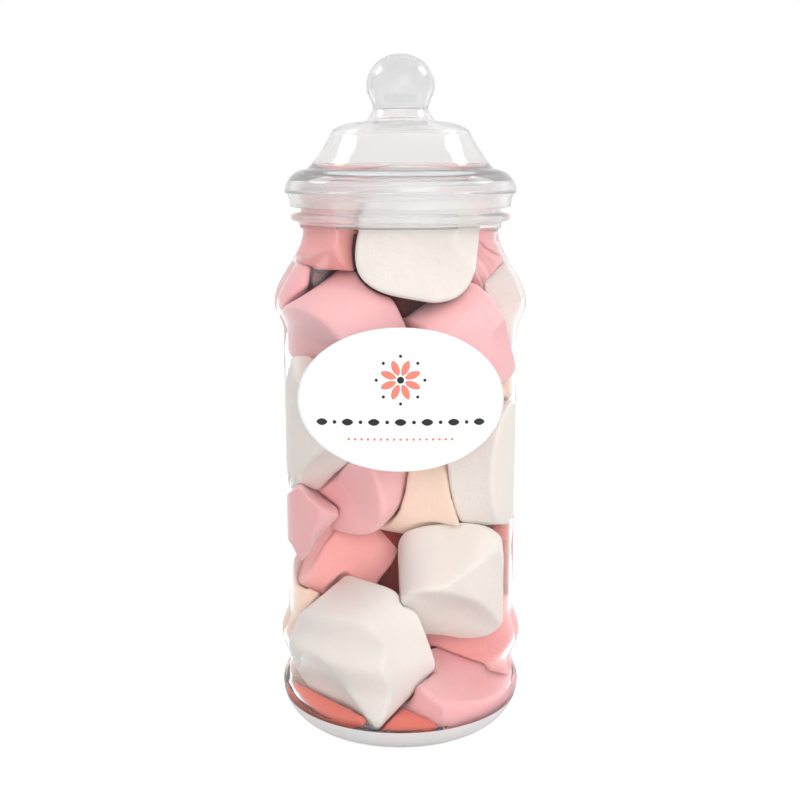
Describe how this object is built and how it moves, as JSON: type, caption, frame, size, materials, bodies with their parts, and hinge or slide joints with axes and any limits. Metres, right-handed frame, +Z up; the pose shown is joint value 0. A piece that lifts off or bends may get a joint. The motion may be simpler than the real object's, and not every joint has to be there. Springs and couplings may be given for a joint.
{
  "type": "filled sweet jar",
  "caption": "Clear round sweet jar full of soft pink, white and peach marshmallows, with moulded rings, a domed knob lid and a plain oval sticker.",
  "frame": {"origin": "centre of the jar's foot, on the surface it stands on", "axes": "+Z up along the jar's axis, through the knob of the lid; the oval sticker faces -Y; +X is to the right for someone facing the sticker"},
  "size_m": [0.0842, 0.0842, 0.225],
  "materials": {
    "jar_plastic": "clear thin blown plastic, polished",
    "lid_plastic": "clear thin moulded plastic, polished, slightly hazy",
    "sticker": "smooth white coated paper",
    "marshmallow": "matte, soft, dusted with fine starch"
  },
  "bodies": {
    "root": {"jar": "jar_plastic", "lid": "lid_plastic", "label": "sticker", "marshmallows": "marshmallow"}
  },
  "joints": []
}
